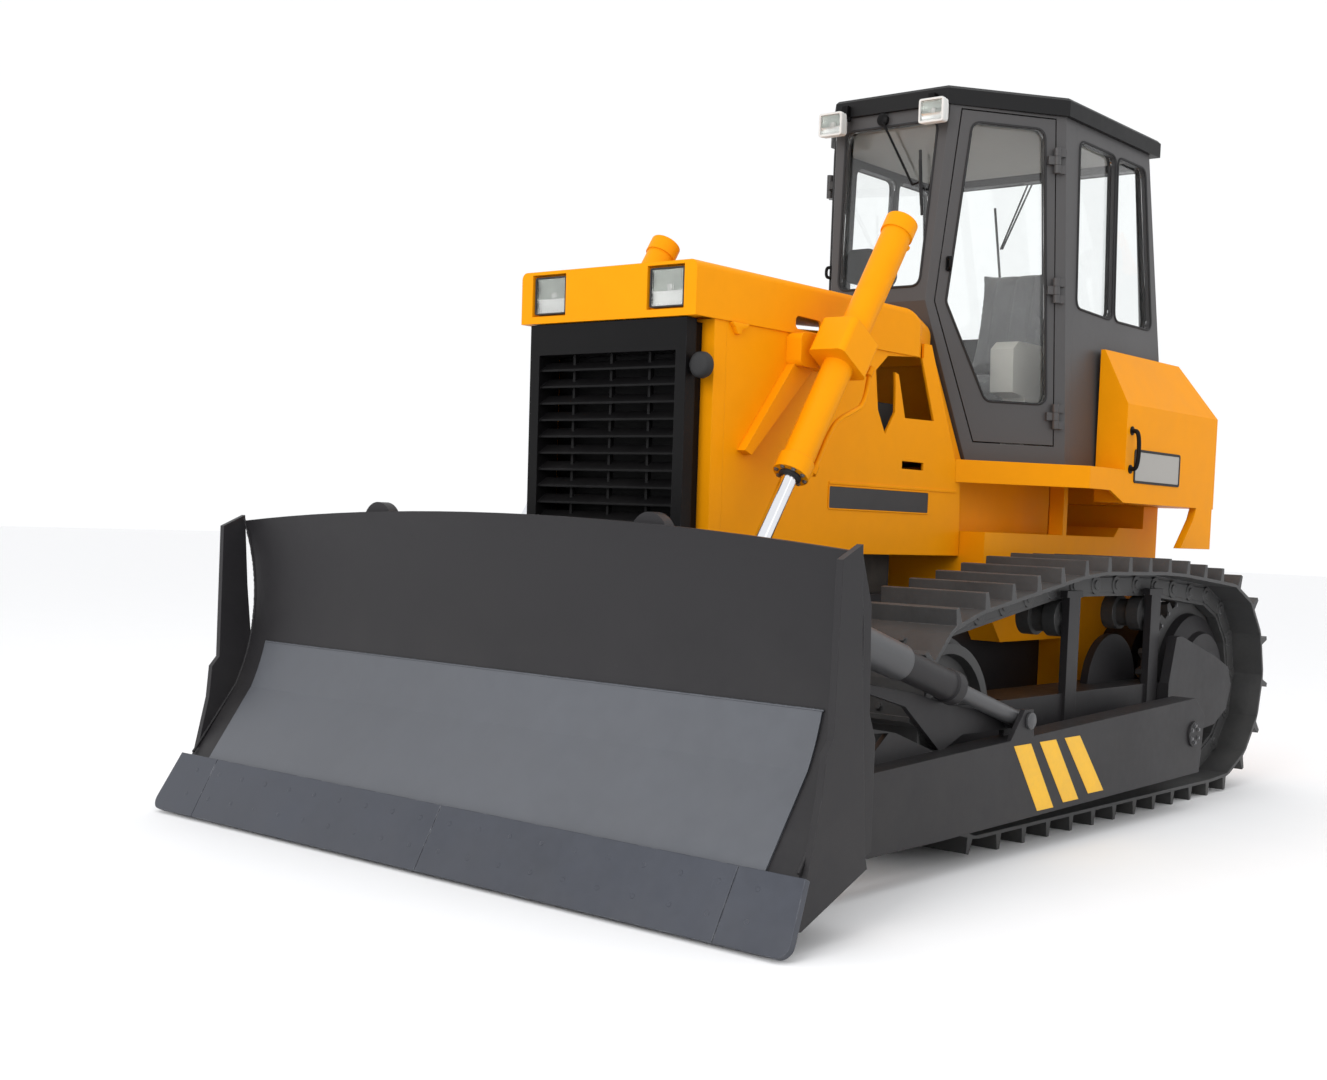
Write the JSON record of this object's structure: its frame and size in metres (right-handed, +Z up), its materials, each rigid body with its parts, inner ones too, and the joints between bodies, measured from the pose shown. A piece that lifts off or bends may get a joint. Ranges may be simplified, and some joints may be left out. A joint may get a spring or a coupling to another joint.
{
  "type": "crawler bulldozer",
  "caption": "Crawler bulldozer with a straight blade on push arms, hydraulic lift cylinders, fixed track loops, louvred front, hinged cab doors and a glazed hexagonal cab.",
  "frame": {"origin": "on the ground, midway along and across the machine", "axes": "front faces -Y, the driver's left is +X, +Z up"},
  "size_m": [3.375, 5.14, 3.335],
  "materials": {
    "yellow_paint": "semi-gloss",
    "grey_paint": "satin",
    "cab_paint": "satin",
    "black_paint": "matt",
    "engine_paint": "matt",
    "track_steel": "worn",
    "edge_steel": "worn",
    "chrome_rod": "polished",
    "window_glass": "clear",
    "lamp_lens": "clear",
    "black_plastic": "matt",
    "grey_plastic": "matt",
    "seat_cloth": "woven"
  },
  "bodies": {
    "machine": {"rear_case": "yellow_paint", "rear_hitch": "yellow_paint", "front_guard": "yellow_paint", "hood": "yellow_paint", "side_panels": "yellow_paint", "floor_platform": "yellow_paint", "fuel_tank": "yellow_paint", "cowl": "yellow_paint", "cylinder_yokes": "yellow_paint", "main_frame": "grey_paint", "track_frames": "grey_paint", "equalizer_beam": "grey_paint", "final_drives": "grey_paint", "track_left": "track_steel", "track_right": "track_steel", "track_rollers": "track_steel", "carrier_rollers": "track_steel", "front_idlers": "track_steel", "drive_sprockets": "track_steel", "engine_block": "engine_paint", "radiator": "black_paint", "grille": "black_paint", "cab_front": "cab_paint", "cab_rear": "cab_paint", "cab_roof": "cab_paint", "cab_windows": "window_glass", "head_lamps": "lamp_lens", "work_lamps": "lamp_lens", "dash_console": "black_plastic", "seat": "seat_cloth", "control_levers": "grey_plastic"},
    "blade": {"moldboard": "grey_paint", "blade_liner": "edge_steel", "cutting_edge": "edge_steel", "push_arms": "grey_paint", "braces": "grey_paint"},
    "lift_barrel_left": {"lift_barrel_left": "yellow_paint"},
    "lift_rod_left": {"lift_rod_left": "chrome_rod"},
    "lift_barrel_right": {"lift_barrel_right": "yellow_paint"},
    "lift_rod_right": {"lift_rod_right": "chrome_rod"},
    "door_left": {"door_left": "cab_paint", "door_glass_left": "window_glass"},
    "door_right": {"door_right": "cab_paint", "door_glass_right": "window_glass"}
  },
  "joints": [
    {"name": "blade_lift", "type": "hinge", "parent": "machine", "child": "blade", "pos_m": [0, 0.95, 0.37], "axis": [-1, 0, 0], "range_deg": [-8.8, 18.2]},
    {"name": "lift_swing_left", "type": "hinge", "parent": "machine", "child": "lift_barrel_left", "pos_m": [0.66, -1.03, 1.985], "axis": [-1, 0, 0], "range_deg": [-9, 18]},
    {"name": "lift_slide_left", "type": "slide", "parent": "lift_barrel_left", "child": "lift_rod_left", "axis": [0, -0.5319, -0.8468], "range_m": [-0.82, 0.4]},
    {"name": "door_left_open", "type": "hinge", "parent": "machine", "child": "door_left", "pos_m": [0.68575, 0.57063, 2.4735], "axis": [-0.0262, -0.0335, 0.9991], "range_deg": [0, 105]},
    {"name": "lift_swing_right", "type": "hinge", "parent": "machine", "child": "lift_barrel_right", "pos_m": [-0.66, -1.03, 1.985], "axis": [-1, 0, 0], "range_deg": [-9, 18]},
    {"name": "lift_slide_right", "type": "slide", "parent": "lift_barrel_right", "child": "lift_rod_right", "axis": [0, -0.5319, -0.8468], "range_m": [-0.82, 0.4]},
    {"name": "door_right_open", "type": "hinge", "parent": "machine", "child": "door_right", "pos_m": [-0.68575, 0.57063, 2.4735], "axis": [-0.0262, 0.0335, -0.9991], "range_deg": [0, 105]}
  ],
  "couplings": [
    {"joint": "lift_swing_left", "follows": "blade_lift", "ratio": 0.9137},
    {"joint": "lift_slide_left", "follows": "blade_lift", "m_per_rad": -2.5398},
    {"joint": "lift_swing_right", "follows": "blade_lift", "ratio": 0.9137},
    {"joint": "lift_slide_right", "follows": "blade_lift", "m_per_rad": -2.5398}
  ]
}
